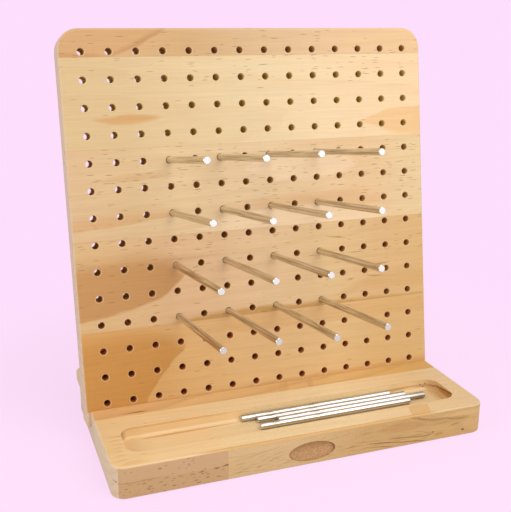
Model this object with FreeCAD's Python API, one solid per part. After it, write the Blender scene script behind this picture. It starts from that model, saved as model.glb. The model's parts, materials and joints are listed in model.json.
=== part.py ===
import FreeCAD, Part
import math
import os

# Standing peg board for blocking knitted or crocheted squares.
# A square pine board with a grid of peg holes stands in a slot of a pine base and leans back on
# a rail. Steel pegs sit in some of the holes, and four spare ones lie in a tray in the base.
# Frame: origin at the centre of the base's underside, +X to the right as seen from the front,
# +Y to the back, +Z up. All sizes are in millimetres and degrees.

# --- the grid of holes ------------------------------------------------------------------------
HOLE_PITCH = 20.0
HOLE_COLUMNS = 14
HOLE_ROWS = 14
HOLE_CHAMFER = 0.4          # easing of both mouths of every hole

# --- the board --------------------------------------------------------------------------------
BOARD_THICKNESS = 20.0
BOARD_SIDE_MARGIN = 16.5    # from the outer columns of holes to the board's sides
BOARD_TOP_MARGIN = 16.5     # from the top row of holes to the top edge
BOARD_BOTTOM_MARGIN = 16.5  # from the bottom row of holes to the bottom edge
BOARD_CORNER_RADIUS = 16.0  # of the two upper corners; the lower two stand square in the slot
BOARD_EDGE_RADIUS = 2.0
BOARD_LEAN = 8.93           # backwards from upright
# The staves from top to bottom: how many rows of holes each one has, and where the glue line
# below it lies, as a share of the way up from the next row of holes to the one above.
STAVE_ROWS = (1, 3, 3, 4, 3)
GLUE_SHARES = (0.8, 0.5, 0.16, 0.75)

# --- the base ---------------------------------------------------------------------------------
BASE_WIDTH = 289.0
BASE_DEPTH = 150.0
BASE_THICKNESS = 24.0
BASE_CORNER_RADIUS = 10.0
BASE_EDGE_RADIUS = 1.5
FRONT_STAVE_DEPTH = 72.0    # from the front face to the glue line of the rear stave
FRONT_LEFT_LENGTH = 80.3    # from the left end to the butt joint in the front stave

# --- the slot and the rail that hold the board -------------------------------------------------
BOARD_SETBACK = 88.0        # from the base's front face to the board's face, at the base's top
BOARD_SHIFT = -1.2          # the board stands a little left of the base's middle in its slot
SLOT_DEPTH = 12.4           # along the board's face
SLOT_CLEARANCE = 0.3        # on each side of the board
SEAT_GAP = 0.2              # under the board's bottom edge
RAIL_LENGTH = 291.0
RAIL_FRONT_HEIGHT = 29.0    # above the base's top, where the board touches the rail
RAIL_REAR_HEIGHT = 9.5
RAIL_EDGE_RADIUS = 3.0

# --- the tray for spare pegs --------------------------------------------------------------------
TRAY_LENGTH = 260.0
TRAY_WIDTH = 36.4
TRAY_DEPTH = 8.5
TRAY_FRONT_RIM = 17.1       # from the base's front face to the tray
TRAY_CORNER_RADIUS = 10.0
TRAY_FLOOR_RADIUS = 2.0

# --- the carved oval on the front face ----------------------------------------------------------
OVAL_LENGTH = 36.0
OVAL_HEIGHT = 15.0
OVAL_DEPTH = 1.2
OVAL_CENTRE_X = -0.8
OVAL_CENTRE_Z = 10.4

# --- the pegs -----------------------------------------------------------------------------------
PEG_DIAMETER = 5.0
PEG_LENGTH = 126.0
PEG_END_CHAMFER = 0.3
PEG_CLEARANCE = 0.1         # radial, in the hole
# Column and row of each peg in the board, counted from the top left hole, with its lean in its
# hole: degrees to the right, and degrees downwards.
BOARD_PEGS = (
    (4, 5, -1.0, 0.0), (6, 5, -1.0, 0.5), (8, 5, -1.5, 0.0), (10, 5, 1.0, 0.5),
    (4, 7, 0.0, 0.0), (6, 7, 0.5, 1.0), (8, 7, 0.5, 0.5), (10, 7, 0.5, 0.5),
    (4, 9, 1.5, 2.5), (6, 9, 0.5, 1.0), (8, 9, 0.5, 1.0), (10, 9, -0.5, 0.5),
    (4, 11, 1.0, 2.0), (6, 11, 0.5, 1.5), (8, 11, 2.0, 3.0), (10, 11, 1.5, 1.5),
)
TRAY_PEG_LIFT = 0.2         # gap between a lying peg and the tray's floor
# Middle of each peg in the tray, right of the base's centre and behind its front face, with
# its turn from the base's width.
TRAY_PEGS = ((25.5, 50.3, 0.3), (36.5, 44.9, 0.4), (51.4, 39.5, 0.4), (34.8, 33.9, 0.4))

# --- what follows from the sizes above ----------------------------------------------------------
GRID_WIDTH = (HOLE_COLUMNS - 1) * HOLE_PITCH
GRID_HEIGHT = (HOLE_ROWS - 1) * HOLE_PITCH
BOARD_WIDTH = GRID_WIDTH + 2 * BOARD_SIDE_MARGIN
BOARD_HEIGHT = BOARD_BOTTOM_MARGIN + GRID_HEIGHT + BOARD_TOP_MARGIN
BOARD_BOTTOM = SEAT_GAP - SLOT_DEPTH              # along the board, from the base's top
BOTTOM_ROW = BOARD_BOTTOM + BOARD_BOTTOM_MARGIN
FRONT_Y = -BASE_DEPTH / 2
REAR_Y = BASE_DEPTH / 2
LEFT_X = -BASE_WIDTH / 2
GLUE_Y = FRONT_Y + FRONT_STAVE_DEPTH
BUTT_X = LEFT_X + FRONT_LEFT_LENGTH
FOOT_Y = FRONT_Y + BOARD_SETBACK
TRAY_FLOOR = BASE_THICKNESS - TRAY_DEPTH
HOLE_RADIUS = PEG_DIAMETER / 2 + PEG_CLEARANCE
BIG = 2 * (BASE_WIDTH + BASE_DEPTH + BOARD_WIDTH + BOARD_HEIGHT)   # larger than the whole part

UP = FreeCAD.Vector(0, 0, 1)

# The board's own frame: x to the right, y up the board, z out of its front face, with its
# origin where the front face meets the base's top.
BOARD_PLACE = FreeCAD.Placement(
    FreeCAD.Vector(BOARD_SHIFT, FOOT_Y, BASE_THICKNESS),
    FreeCAD.Rotation(FreeCAD.Vector(1, 0, 0), 90 - BOARD_LEAN),
)


def corner_edges(block):
    """The upright edges of a block."""
    return [edge for edge in block.Edges if abs(edge.tangentAt(edge.FirstParameter).z) > 0.9]


def rounded_block(width, depth, height, radius, low):
    """Upright block with rounded corners, low being its lowest x, y and z."""
    block = Part.makeBox(width, depth, height, FreeCAD.Vector(*low))
    return block.makeFillet(radius, corner_edges(block))


def rim_edges(shape, z):
    """The edges of the shape that lie in the level plane at z."""
    return [edge for edge in shape.Edges
            if abs(edge.BoundBox.ZMin - z) < 0.001 and abs(edge.BoundBox.ZMax - z) < 0.001]


def slab(axis, low, high):
    """A very large slab between two positions on one axis, for cutting staves apart."""
    corner = [-BIG / 2, -BIG / 2, -BIG / 2]
    size = [BIG, BIG, BIG]
    corner[axis] = low
    size[axis] = high - low
    return Part.makeBox(*size, FreeCAD.Vector(*corner))


def hole_place(column, row):
    """Middle of a hole's front mouth in the board's frame, counted from the top left hole."""
    x = (column - 1) * HOLE_PITCH - GRID_WIDTH / 2
    y = BOTTOM_ROW + (HOLE_ROWS - row) * HOLE_PITCH
    return FreeCAD.Vector(x, y, 0)


def lean_direction(side, down):
    """Outward direction of a peg that leans to the side and downwards, in the board's frame."""
    direction = FreeCAD.Vector(math.tan(math.radians(side)), -math.tan(math.radians(down)), 1)
    return direction.normalize()


def hole_cutter(column, row):
    """Everything that is drilled away for one hole: the bore and its two eased mouths."""
    leans = {(peg[0], peg[1]): peg[2:] for peg in BOARD_PEGS}
    side, down = leans.get((column, row), (0.0, 0.0))
    out = lean_direction(side, down)
    mouth = hole_place(column, row)
    back = mouth - out * (BOARD_THICKNESS / out.z)
    spare = HOLE_PITCH / 4                       # how far the tool runs past both faces
    length = BOARD_THICKNESS / out.z + 2 * spare
    bore = Part.makeCylinder(HOLE_RADIUS, length, back - out * spare, out)
    deep = HOLE_CHAMFER + spare
    wide = HOLE_RADIUS + deep
    front_ease = Part.makeCone(HOLE_RADIUS, wide, deep, mouth - out * HOLE_CHAMFER, out)
    back_ease = Part.makeCone(HOLE_RADIUS, wide, deep, back + out * HOLE_CHAMFER, out * -1)
    return bore.fuse([front_ease, back_ease])


def make_board_staves():
    """The board's staves from top to bottom, drilled, in the part's frame."""
    low = FreeCAD.Vector(-BOARD_WIDTH / 2, BOARD_BOTTOM, -BOARD_THICKNESS)
    blank = Part.makeBox(BOARD_WIDTH, BOARD_HEIGHT, BOARD_THICKNESS, low)
    upper = [edge for edge in corner_edges(blank) if edge.CenterOfMass.y > BOTTOM_ROW]
    blank = blank.makeFillet(BOARD_CORNER_RADIUS, upper)
    lower = [edge for edge in corner_edges(blank) if edge.CenterOfMass.y < BOTTOM_ROW]
    rims = rim_edges(blank, 0) + rim_edges(blank, -BOARD_THICKNESS)
    blank = blank.makeFillet(BOARD_EDGE_RADIUS, rims + lower)
    bounds = [BOARD_BOTTOM + BIG / 4]
    rows_above = 0
    for rows, share in zip(STAVE_ROWS[:-1], GLUE_SHARES):
        rows_above += rows
        next_row = hole_place(1, rows_above + 1).y
        bounds.append(next_row + share * HOLE_PITCH)
    bounds.append(BOARD_BOTTOM - BIG / 4)
    cutters = [hole_cutter(column, row)
               for row in range(1, HOLE_ROWS + 1) for column in range(1, HOLE_COLUMNS + 1)]
    staves = []
    for top, bottom in zip(bounds[:-1], bounds[1:]):
        stave = blank.common(slab(1, bottom, top))
        tools = [tool for tool in cutters
                 if tool.BoundBox.YMax > bottom and tool.BoundBox.YMin < top]
        stave = stave.cut(tools).Solids[0]
        stave.Placement = BOARD_PLACE
        staves.append(stave)
    return staves


def make_slot_cutter():
    """The room that the board needs in the base and in front of the rail."""
    cutter = Part.makeBox(
        BIG, SLOT_DEPTH + BIG / 2, BOARD_THICKNESS + 2 * SLOT_CLEARANCE,
        FreeCAD.Vector(-BIG / 2, -SLOT_DEPTH, -BOARD_THICKNESS - SLOT_CLEARANCE))
    cutter.Placement = BOARD_PLACE
    return cutter


def make_tray_cutter():
    """The tray's hollow, with its floor rounded into its walls, and open above."""
    low = (-TRAY_LENGTH / 2, FRONT_Y + TRAY_FRONT_RIM, TRAY_FLOOR)
    hollow = rounded_block(TRAY_LENGTH, TRAY_WIDTH, 2 * TRAY_DEPTH, TRAY_CORNER_RADIUS, low)
    return hollow.makeFillet(TRAY_FLOOR_RADIUS, rim_edges(hollow, TRAY_FLOOR))


def make_oval_cutter():
    """The shallow oval that is carved into the front face."""
    centre = FreeCAD.Vector(OVAL_CENTRE_X, FRONT_Y, OVAL_CENTRE_Z)
    ellipse = Part.Ellipse(FreeCAD.Vector(0, 0, 0), OVAL_LENGTH / 2, OVAL_HEIGHT / 2)
    ground = Part.Face(Part.Wire(ellipse.toShape()))
    ground.Placement = FreeCAD.Placement(centre, FreeCAD.Rotation(FreeCAD.Vector(1, 0, 0), 90))
    return ground.extrude(FreeCAD.Vector(0, OVAL_DEPTH, 0))


def make_base_blank(eased_above):
    """The glued-up base before it is milled, with its lower edge eased and maybe its upper."""
    low = (LEFT_X, FRONT_Y, 0)
    blank = rounded_block(BASE_WIDTH, BASE_DEPTH, BASE_THICKNESS, BASE_CORNER_RADIUS, low)
    edges = rim_edges(blank, 0)
    if eased_above:
        edges += rim_edges(blank, BASE_THICKNESS)
    return blank.makeFillet(BASE_EDGE_RADIUS, edges)


def make_base_staves():
    """Left and right length of the base's front stave, and the rear stave with the slot."""
    eased = make_base_blank(True)
    front = eased.common(slab(1, -BIG / 2, GLUE_Y)).cut(make_tray_cutter())
    left = front.common(slab(0, -BIG / 2, BUTT_X)).Solids[0]
    right = front.common(slab(0, BUTT_X, BIG / 2)).cut(make_oval_cutter()).Solids[0]
    # The rail covers the top behind the slot, so the upper edge is only eased before it.
    slot_middle = FOOT_Y + BOARD_THICKNESS / 2
    before = eased.common(slab(1, GLUE_Y, slot_middle))
    behind = make_base_blank(False).common(slab(1, slot_middle, BIG / 2))
    rear = before.fuse(behind).cut(make_slot_cutter()).removeSplitter().Solids[0]
    return left, right, rear


def make_back_rail():
    """The rail on the base's rear stave, with its face along the board's back."""
    contact_y = FOOT_Y + BOARD_THICKNESS / math.cos(math.radians(BOARD_LEAN))
    top = BASE_THICKNESS + RAIL_FRONT_HEIGHT
    slope = (RAIL_REAR_HEIGHT - RAIL_FRONT_HEIGHT) / (REAR_Y - contact_y)
    ahead = contact_y - BOARD_THICKNESS          # inside the board, where the slot cutter trims
    top_ahead = top + slope * (ahead - contact_y)
    profile = [(ahead, BASE_THICKNESS), (REAR_Y, BASE_THICKNESS),
               (REAR_Y, BASE_THICKNESS + RAIL_REAR_HEIGHT), (ahead, top_ahead),
               (ahead, BASE_THICKNESS)]
    points = [FreeCAD.Vector(-RAIL_LENGTH / 2, y, z) for y, z in profile]
    bar = Part.Face(Part.makePolygon(points)).extrude(FreeCAD.Vector(RAIL_LENGTH, 0, 0))
    rail = bar.cut(make_slot_cutter()).removeSplitter().Solids[0]
    upper = max(rail.Faces, key=lambda face: face.CenterOfMass.z if face.normalAt(0, 0).z > 0.5
                else -1)
    return rail.makeFillet(RAIL_EDGE_RADIUS, upper.OuterWire.Edges)


def make_peg_shape(start, direction):
    """One steel peg from its start point, with both ends chamfered."""
    peg = Part.makeCylinder(PEG_DIAMETER / 2, PEG_LENGTH, start, direction)
    ends = [edge for edge in peg.Edges if edge.Closed]
    return peg.makeChamfer(PEG_END_CHAMFER, ends)


def make_board_peg(column, row, side, down):
    """A peg in the board, with its inner end flush with the board's back face."""
    out = lean_direction(side, down)
    inserted = BOARD_THICKNESS / out.z
    peg = make_peg_shape(hole_place(column, row) - out * inserted, out)
    peg.Placement = BOARD_PLACE
    return peg


def make_tray_peg(x, behind_front, turn):
    """A peg lying on the tray's floor."""
    angle = math.radians(turn)
    along = FreeCAD.Vector(math.cos(angle), math.sin(angle), 0)
    middle = FreeCAD.Vector(x, FRONT_Y + behind_front,
                            TRAY_FLOOR + TRAY_PEG_LIFT + PEG_DIAMETER / 2)
    return make_peg_shape(middle - along * (PEG_LENGTH / 2), along)


def make_part():
    """Every piece, by the name of its node."""
    pieces = {}
    for number, stave in enumerate(make_board_staves(), start=1):
        pieces["board_stave_%d" % number] = stave
    left, right, rear = make_base_staves()
    pieces["base_front_left"] = left
    pieces["base_front_right"] = right
    pieces["base_rear"] = rear
    pieces["back_rail"] = make_back_rail()
    for number, peg in enumerate(BOARD_PEGS, start=1):
        pieces["board_peg_%d" % number] = make_board_peg(*peg)
    for number, peg in enumerate(TRAY_PEGS, start=1):
        pieces["tray_peg_%d" % number] = make_tray_peg(*peg)
    return pieces


os.makedirs("parts", exist_ok=True)
for name, shape in make_part().items():
    box = shape.BoundBox
    print("%-16s valid %s  solids %d  %8.1f cm3  x %.1f..%.1f  y %.1f..%.1f  z %.1f..%.1f" % (
        name, shape.isValid(), len(shape.Solids), shape.Volume / 1000,
        box.XMin, box.XMax, box.YMin, box.YMax, box.ZMin, box.ZMax))
    shape.exportStep("parts/%s.step" % name)
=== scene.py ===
# %% [markdown]
# # A peg board that leans in a wooden stand
#
# The real object is a joinery piece. A square board is glued up from five staves of pine and
# drilled all over on a 20 mm grid. It leans back in a slotted base, also of glued pine, that has
# a long tray in front. Thin steel pegs stand in some of the holes, and four more lie in the tray.
# Crochet squares are threaded on the pegs to be stretched and dried.
#
# The shapes come from the CAD model, which is already right. What Blender adds is the wood and the
# steel, the light and the camera. The first cell brings the CAD model in and measures it.

# %% Load the CAD model into an empty scene
import json
import math
import bpy
from mathutils import Matrix, Vector

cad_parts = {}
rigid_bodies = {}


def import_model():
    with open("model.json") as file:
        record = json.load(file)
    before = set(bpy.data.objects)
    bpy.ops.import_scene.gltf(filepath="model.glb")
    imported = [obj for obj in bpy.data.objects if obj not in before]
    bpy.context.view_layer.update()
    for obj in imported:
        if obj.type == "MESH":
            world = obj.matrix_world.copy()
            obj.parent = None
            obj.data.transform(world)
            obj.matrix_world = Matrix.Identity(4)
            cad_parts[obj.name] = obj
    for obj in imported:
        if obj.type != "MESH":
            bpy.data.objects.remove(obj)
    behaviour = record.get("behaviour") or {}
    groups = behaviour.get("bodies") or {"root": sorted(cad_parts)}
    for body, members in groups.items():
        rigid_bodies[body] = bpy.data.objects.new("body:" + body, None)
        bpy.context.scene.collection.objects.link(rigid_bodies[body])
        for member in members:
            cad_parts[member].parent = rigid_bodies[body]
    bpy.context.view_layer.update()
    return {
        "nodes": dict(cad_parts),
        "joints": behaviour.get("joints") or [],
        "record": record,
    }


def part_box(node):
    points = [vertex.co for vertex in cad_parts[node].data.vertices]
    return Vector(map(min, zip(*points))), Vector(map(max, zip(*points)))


bpy.ops.object.select_all(action="SELECT")
bpy.ops.object.delete()
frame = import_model()

# %% [markdown]
# ## Where the board stands
#
# Wood grain runs along a board, so a grain pattern has to know which way the board lies. This
# board leans back by about nine degrees. The way it slides out of its slot is the direction up its
# face, and the CAD model's record also gives one point on that face. From these two come the lean
# and the foot of the face, which is the middle of the line where it meets the base. The foot is
# a handy zero: heights on the board are then plain millimetres above the base.

# %% Find the board's lean and its foot
MM = 0.001
up_the_board = Vector(next(j for j in frame["joints"] if j["name"] == "board_lift")["axis"])
on_the_face = Vector(next(m for m in frame["record"]["mounts"] if m["name"] == "board_face")["pos_m"])
base_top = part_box("base_rear")[1].z
board_foot = on_the_face - up_the_board * ((on_the_face.z - base_top) / up_the_board.z)
board_turn = math.atan2(up_the_board.z, up_the_board.y)
print("lean in degrees:", round(90 - math.degrees(board_turn), 2))
print("foot in mm:", [round(v / MM, 2) for v in board_foot])

# %% [markdown]
# ## Two helpers
#
# Colours are easiest to choose as hex values, the way a paint card gives them. Those are sRGB
# values, made for screens. A shader works with amounts of light, which are linear, so one function
# turns the first into the second. The other function adds a node, sets its properties and feeds
# its inputs. A kind such as "Math ADD" has its operation after a space. The inputs come in order in
# a list, or by name or number in a dictionary: a Mix node of colours, for one, has its share at 0
# and its two colours at 6 and 7. What is fed in is a number, an output of another node, or a whole
# node, which then gives its first output. Nearly every line of a material is one call to it.

# %% Colour and node helpers
def linear(hex_colour):
    """An sRGB hex colour as the linear RGBA that a shader works with."""
    parts = [int(hex_colour[i:i + 2], 16) / 255 for i in (1, 3, 5)]
    return tuple(p / 12.92 if p <= 0.04045 else ((p + 0.055) / 1.055) ** 2.4 for p in parts) + (1.0,)


def put(tree, kind, feeds=(), **settings):
    """Adds a shader node, sets its properties, and feeds its inputs."""
    kind, *operation = kind.split()
    node = tree.nodes.new("ShaderNode" + kind)
    if operation:
        node.operation = operation[0]
    for name, value in settings.items():
        setattr(node, name, value)
    for socket, feed in feeds.items() if isinstance(feeds, dict) else enumerate(feeds):
        if isinstance(feed, bpy.types.Node):
            feed = feed.outputs[0]
        if isinstance(feed, bpy.types.NodeSocket):
            tree.links.new(feed, node.inputs[socket])
        else:
            node.inputs[socket].default_value = feed
    return node


print("mid grey #808080 is", round(linear("#808080")[0], 3), "in linear light")

# %% [markdown]
# ## Millimetres on the piece
#
# All the patterns of the wood are drawn in millimetres on the piece itself. Object coordinates
# give a point in metres in the scene. A Mapping node of the Texture kind takes away the foot's
# place and the lean and divides by a millimetre. What is left is how far a point lies along the
# stave, how far up the board, and how far out of its face. On the flat base the same node only
# changes the unit and the zero, and the three numbers are along, back and up.
#
# Three small tools work with them. Shares from 0 to 1 are multiplied, so that a mark shows where
# all of them hold. A region is where some values lie within limits, with smooth edges. The
# distance from a place can be squeezed in each direction, so that it draws ovals too.

# %% Coordinates in millimetres
def bare_tree(data):
    """Turns a new material or world into an empty node tree."""
    data.use_nodes = True
    data.node_tree.nodes.clear()
    return data.node_tree


def places(tree, foot=(0, 0, 0), turn=0.0):
    """Where a point lies on its piece: as one vector, then along, up and out, all in mm."""
    here = put(tree, "TexCoord")
    mm = put(tree, "Mapping", {"Vector": here.outputs["Object"], "Location": foot,
                               "Rotation": (turn, 0, 0), "Scale": (MM, MM, MM)}, vector_type="TEXTURE")
    split = put(tree, "SeparateXYZ", {"Vector": mm})
    return (mm.outputs[0], *split.outputs)


def together(tree, *shares):
    """How far all of some shares from 0 to 1 hold at once: their product."""
    whole = shares[0]
    for share in shares[1:]:
        whole = put(tree, "Math MULTIPLY", [whole, share])
    return whole


def region(tree, *limits):
    """1 where every limit holds, with smooth edges. A limit is a value, where it starts, where full."""
    return together(tree, *[put(tree, "MapRange", [value, start, full],
                                interpolation_type="SMOOTHSTEP") for value, start, full in limits])


def distance(tree, spot, scale, middle):
    """How far a spot lies from a middle, when each direction is first multiplied by its scale."""
    shift = [-s * m for s, m in zip(scale, middle)]
    off = put(tree, "VectorMath MULTIPLY_ADD", [spot, scale, shift])
    return put(tree, "VectorMath LENGTH", [off]).outputs["Value"]


print("a millimetre is", MM, "m")

# %% [markdown]
# ## The figure of pine
#
# Radiata pine is pale and soft. Each year it grows a wide ring of cream spring wood and a narrow
# ring of amber summer wood. Where a stave is cut flat through those rings, a ring shows as a large
# soft patch or a pointed arch. Nothing is more tell-tale than rings that come out at the end of
# the stave as arcs, so the rings are made in space, round a heart that lies outside the stave.
# A wood texture painted on each face could not do that. A slow noise makes the rings wander.

# %% Growth rings in space
def wandering(tree, spot, reach, length):
    """A slow drift in mm, as far as reach to either side, over about length mm along the grain."""
    slow = put(tree, "VectorMath MULTIPLY", [spot, (1 / length, 3 / length, 3 / length)])
    noise = put(tree, "TexNoise", {"Vector": slow, "Scale": 1.0, "Detail": 2.0, "Roughness": 0.45})
    return put(tree, "MapRange", [noise, 0.25, 0.75, -reach, reach], clamp=False)


def growth_rings(tree, spot, heart, ring, climb, drift):
    """0 in the spring wood to 1 in the summer wood of rings round a heart at (up, out) in mm."""
    away = distance(tree, spot, (0, 1, 1), (0, *heart))
    split = put(tree, "SeparateXYZ", {"Vector": spot})
    taper = put(tree, "Math MULTIPLY_ADD", [split, climb, away])
    moved = put(tree, "Math ADD", [taper, drift])
    years = put(tree, "Math MULTIPLY", [moved, 1 / ring])
    season = put(tree, "Math FRACT", [years])
    ramp = put(tree, "ValToRGB", {"Fac": season})
    # Growth darkens slowly through the summer and starts pale again in the next spring.
    stops = ramp.color_ramp.elements
    for position, grey in ((0.45, 0.0), (0.93, 1.0), (1.0, 0.1)):
        stops.new(position).color = (grey, grey, grey, 1)
    stops[0].color = (0.1, 0.1, 0.1, 1)
    return ramp


print("growth_rings:", growth_rings.__doc__)


# %% [markdown]
# ## Fibres and resin canals
#
# Between the rings pine shows two finer things. The fibres give a faint silky streak along the
# stave. They are thinner than a render can show, so they are drawn a little coarser, about
# half a millimetre to two millimetres wide. The resin canals are what mark pine out from other
# pale woods: short dark dashes, a few millimetres long and under a millimetre thick, where the
# plane has cut a canal open. A Voronoi texture scatters long thin cells, each with a random
# number. A dash is the middle of a cell, and the number decides whether that cell has one.

# %% Fine streaks and short dashes
def fibres(tree, spot, thick, length):
    """Streaks along the grain, from 0 to 1."""
    stretched = put(tree, "VectorMath MULTIPLY", [spot, (1 / length, 1 / thick, 1 / thick)])
    return put(tree, "TexNoise", {"Vector": stretched, "Scale": 1.0, "Detail": 3.0, "Roughness": 0.6})


def resin_canals(tree, spot, share, long=7.0, thick=0.62, apart=11.0):
    """Dashes, 0 or 1 with soft edges. The share of cells that have one is a number or a node."""
    reach = long / 2 / apart
    cell = put(tree, "VectorMath MULTIPLY", [spot, (1 / apart, 2 * reach / thick, 2 * reach / thick)])
    canals = put(tree, "TexVoronoi", {"Vector": cell, "Scale": 1.0, "Randomness": 1.0})
    luck = put(tree, "SeparateColor", {"Color": canals.outputs["Color"]})
    size = put(tree, "MapRange", {"Value": luck.outputs[1], "To Min": 0.45 * reach,
                                  "To Max": 1.2 * reach})
    half = put(tree, "Math MULTIPLY", [size, 0.45])
    present = put(tree, "Math LESS_THAN", [luck, share])
    return together(tree, region(tree, (canals.outputs["Distance"], size, half)), present)


print("resin_canals:", resin_canals.__doc__)


# %% [markdown]
# ## Patches drawn one by one
#
# Some marks belong to one stave and no other, such as an amber arch or a lens of summer wood.
# They could be hoped for from noise, but a stave is known by them, so they are drawn. A line
# across the stave is a Float Curve: for each place along the stave it gives a height. A patch is
# what lies between two such lines, and each edge has its own softness, because the summer wood of
# a ring begins gradually and stops sharply. Where its two lines meet, a patch ends in a point.
# Where they don't, it runs on level to the end of the stave.
#
# An outline lists a patch's points from left to right. A point is a place along the stave, the
# height of the low line there and the height of the high line. One of them may be missing.

# %% Lines and patches along a stave
SPAN = 300.0
RISE = 400.0
SUNK = 100.0
RUN_ON = 3.0


def line_across(tree, along, points):
    """For a place along the stave, the height in mm of a smooth line through the given points."""
    share = put(tree, "MapRange", [along, -SPAN / 2, SPAN / 2])
    curve = put(tree, "FloatCurve", {"Value": share})
    drawn = curve.mapping.curves[0].points
    # The curve is stored in steps of about a millimetre. It runs on level a little past each end,
    # because a step cut in two there would leak out along the stave as a hairline.
    points = [(points[0][0] - RUN_ON, points[0][1]), *points, (points[-1][0] + RUN_ON, points[-1][1])]
    where = [(x / SPAN + 0.5, (height + SUNK) / RISE) for x, height in points if abs(x) <= SPAN / 2]
    drawn[0].location, drawn[1].location = where[0], where[-1]
    for place in where[1:-1]:
        drawn.new(*place)
    curve.mapping.extend = "HORIZONTAL"
    curve.mapping.update()
    return put(tree, "Math MULTIPLY_ADD", [curve, RISE, -SUNK])


def patch(tree, along, up, outline, soft):
    """1 inside an outline, softened inwards from its low and its high line by two amounts in mm."""
    low = [(point[0], point[1]) for point in outline if point[1] is not None]
    high = [(point[0], point[2]) for point in outline if len(point) == 3]
    over = put(tree, "Math SUBTRACT", [up, line_across(tree, along, low)])
    under = put(tree, "Math SUBTRACT", [line_across(tree, along, high), up])
    return region(tree, (over, 0.0, soft[0]), (under, 0.0, soft[1]))


print("lines may lie from", -SUNK, "to", RISE - SUNK, "mm up")

# %% [markdown]
# ## Planed and sanded pine
#
# Every wooden piece starts from the same recipe, each with its own colours, heart and marks.
# A colour runs along the stave, because no log has one colour from end to end; on the three
# upper staves of the board it also grows paler towards the right, and that part is painted light.
# Rings, patches,
# fibres and canals go over it in the order in which the eye finds them. Where the stave is cut
# across, its ends, the open pores drink more light and the wood is duller, with the rings
# stronger. The pinker tone given to the ends is a painted reflection of the pale pink surroundings.
# The piece is sanded and left without lacquer: a roughness around 0.55 and
# a low specular level give a soft satin and no hard highlights.

# %% The common recipe for pine
LOG_STEP = 311.0


def stain(part, hex_colour, *shares):
    """Lays a colour over a piece, as strongly as all the shares from 0 to 1 together allow."""
    tree = part["tree"]
    part["colour"] = put(tree, "Mix", {0: together(tree, *shares), 6: part["colour"],
                                       7: linear(hex_colour)}, data_type="RGBA").outputs[2]


def carve(part, shape, depth):
    """Adds a shape to a piece's bump: up or, with a depth below 0, down."""
    part["height"] = put(part["tree"], "Math MULTIPLY_ADD", [shape, depth, part["height"]])


def pine(name, foot, turn, seed, colours, heart, ring, climb, canals,
         ring_colour="#cf9a5c", ring_share=0.1, marks=(), end_colour="#dcc6ae"):
    """Builds a pine material up to its colour and height. Returns all that later steps add to."""
    wood = bpy.data.materials.new(name)
    tree = bare_tree(wood)
    flat_spot, along, up, out = places(tree, foot, turn)
    # Each piece comes from a place further along one endless log, so no two look the same.
    spot = put(tree, "VectorMath ADD", [flat_spot, (LOG_STEP * seed, 0, 0)])
    fine = fibres(tree, spot, 0.7, 26.0)
    share = put(tree, "MapRange", [along, -SPAN / 2, SPAN / 2])
    ramp = put(tree, "ValToRGB", {"Fac": share})
    stops = ramp.color_ramp.elements
    stops[0].position, stops[1].position = (colours[i][0] / SPAN + 0.5 for i in (0, -1))
    stops[0].color, stops[1].color = (linear(colours[i][1]) for i in (0, -1))
    for place, hex_colour in colours[1:-1]:
        stops.new(place / SPAN + 0.5).color = linear(hex_colour)
    part = {"material": wood, "tree": tree, "spot": spot, "flat_spot": flat_spot, "along": along,
            "up": up, "out": out, "colour": ramp, "fine": fine, "height": fine}
    rings = growth_rings(tree, spot, heart, ring, climb, wandering(tree, spot, 3.0, 90.0))
    stain(part, ring_colour, rings, ring_share)
    wavy_up = put(tree, "Math ADD", [up, wandering(tree, spot, 0.9, 22.0)])
    for outline, soft, hex_colour, strength in marks:
        stain(part, hex_colour, patch(tree, along, wavy_up, outline, soft), strength)
    streak = put(tree, "MapRange", [fibres(tree, spot, 2.2, 60.0), 0.3, 0.7, 0.96, 1.03])
    silk = put(tree, "MapRange", [fine, 0.25, 0.75, 0.95, 1.04])
    both = together(tree, streak, silk)
    grey = put(tree, "CombineColor", [both, both, both])
    part["colour"] = put(tree, "Mix", {0: 1.0, 6: part["colour"], 7: grey},
                         data_type="RGBA", blend_type="MULTIPLY").outputs[2]
    dashes = resin_canals(tree, spot, canals(tree, up) if callable(canals) else canals)
    stain(part, "#80582f", dashes, 0.55)
    # The ends are cut across: they face sideways, and show pores and rings but no canals.
    facing = put(tree, "NewGeometry")
    normal = put(tree, "SeparateXYZ", {"Vector": facing.outputs["Normal"]})
    cut_end = region(tree, (put(tree, "Math ABSOLUTE", [normal]), 0.5, 0.66))
    pores = put(tree, "TexNoise", {"Vector": spot, "Scale": 1.1, "Detail": 3.0})
    # The ends' colour is end grain, with a pinker tone that is a painted reflection of the pink
    # surroundings.
    stain(part, end_colour, cut_end)
    stain(part, "#b8946e", cut_end, rings, 0.22)
    stain(part, "#c4a17e", cut_end, region(tree, (pores, 0.42, 0.66)), 0.35)
    carve(part, dashes, -1.2)
    return part


print("pine:", pine.__doc__)
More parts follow.
